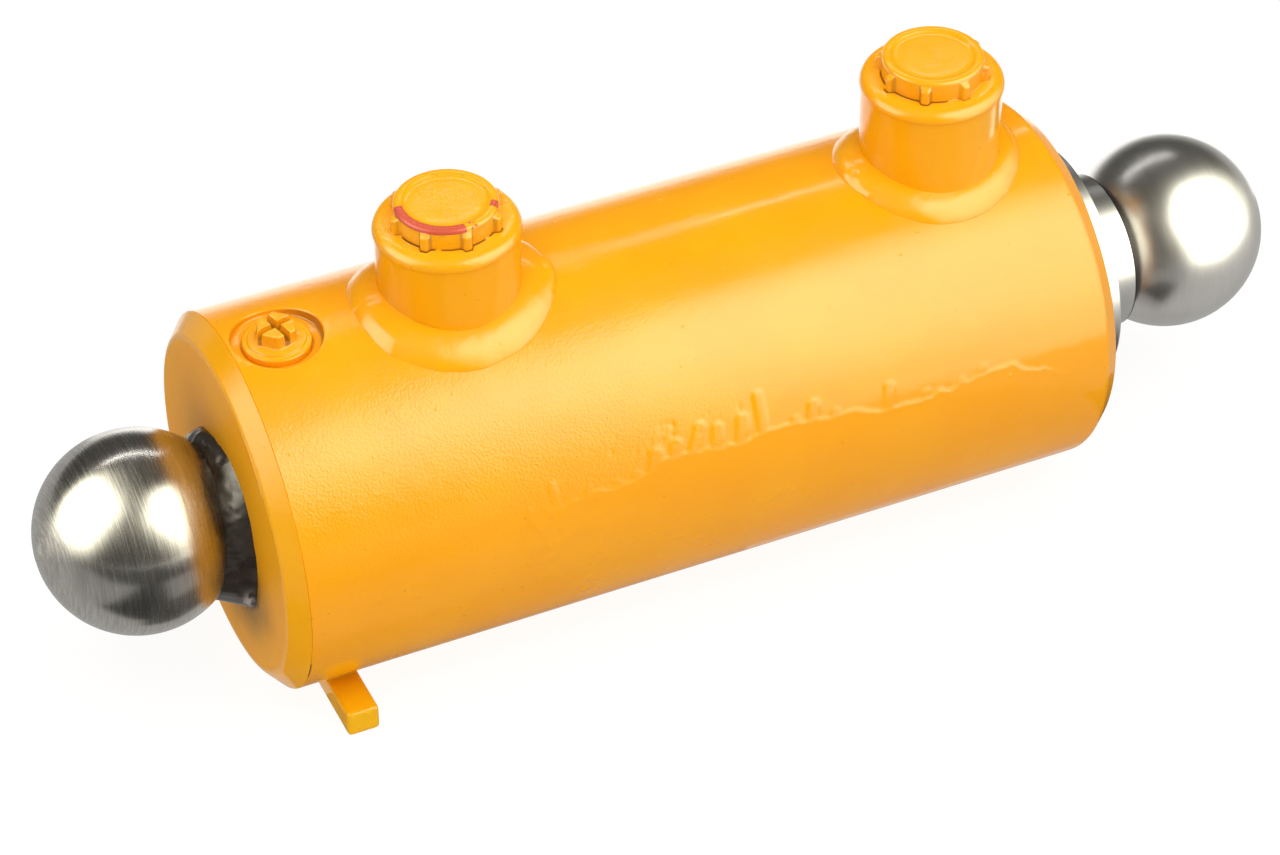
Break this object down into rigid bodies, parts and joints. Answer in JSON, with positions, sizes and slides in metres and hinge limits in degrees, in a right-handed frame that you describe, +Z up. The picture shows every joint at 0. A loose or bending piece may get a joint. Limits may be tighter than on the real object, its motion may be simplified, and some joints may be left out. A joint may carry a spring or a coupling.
{
  "type": "telescopic hydraulic cylinder",
  "caption": "Telescopic hydraulic cylinder with ball ends, welded port bosses and a bleed port on a painted barrel; the stages slide out along one axis.",
  "frame": {"origin": "centre of the base ball", "axes": "+X along the cylinder towards the rod ball, +Z up through the port bosses, -Y towards the stop tab's free end"},
  "size_m": [0.3314, 0.095, 0.124],
  "materials": {
    "yellow_paint": "glossy machinery enamel",
    "turned_steel": "turned, fine rings about X",
    "weld_steel": "as welded, sooty",
    "chrome": "hard chrome, polished",
    "polished_steel": "polished ball",
    "gland_steel": "turned",
    "collar_iron": "machined",
    "plug_plastic": "red plastic under yellow overspray",
    "seal_rubber": "matt",
    "seal_polyurethane": "satin",
    "guide_phenolic": "woven phenolic, matt",
    "spring_steel": "phosphated"
  },
  "bodies": {
    "barrel": {"barrel_tube": "yellow_paint", "base_cap": "yellow_paint", "base_cap_weld": "yellow_paint", "base_ball": "turned_steel", "base_ball_weld": "weld_steel", "base_port_boss": "yellow_paint", "base_port_boss_weld": "yellow_paint", "head_port_boss": "yellow_paint", "head_port_boss_weld": "yellow_paint", "stop_tab": "yellow_paint", "stop_tab_weld": "yellow_paint", "head_gland": "gland_steel", "head_gland_o_ring": "seal_rubber", "stage_guide_ring": "guide_phenolic", "stage_seal": "seal_polyurethane", "stage_wiper": "seal_polyurethane"},
    "first_stage": {"stage_tube": "chrome", "stage_guide_collar": "collar_iron", "stage_guide_band": "guide_phenolic", "stage_collar_retaining_ring": "spring_steel", "rod_stop_ring": "spring_steel", "stage_gland": "gland_steel", "stage_gland_o_ring": "seal_rubber", "rod_guide_ring": "guide_phenolic", "rod_seal": "seal_polyurethane", "rod_wiper": "seal_polyurethane"},
    "rod": {"piston_rod": "chrome", "rod_ball": "polished_steel", "rod_guide_collar": "collar_iron", "rod_guide_band": "guide_phenolic", "rod_collar_nut": "gland_steel"},
    "base_plug": {"base_port_plug": "plug_plastic"},
    "head_plug": {"head_port_plug": "plug_plastic"},
    "bleed_screw": {"bleed_plug": "plug_plastic"}
  },
  "joints": [
    {"name": "first_stage_slide", "type": "slide", "parent": "barrel", "child": "first_stage", "axis": [1, 0, 0], "range_m": [0, 0.155]},
    {"name": "rod_slide", "type": "slide", "parent": "first_stage", "child": "rod", "axis": [1, 0, 0], "range_m": [0, 0.165]},
    {"name": "base_plug_unscrew", "type": "slide", "parent": "barrel", "child": "base_plug", "axis": [0, 0, 1], "range_m": [0, 0.012]},
    {"name": "head_plug_unscrew", "type": "slide", "parent": "barrel", "child": "head_plug", "axis": [0, 0, 1], "range_m": [0, 0.012]},
    {"name": "bleed_plug_unscrew", "type": "slide", "parent": "barrel", "child": "bleed_screw", "axis": [0, 0, 1], "range_m": [0, 0.005]}
  ]
}
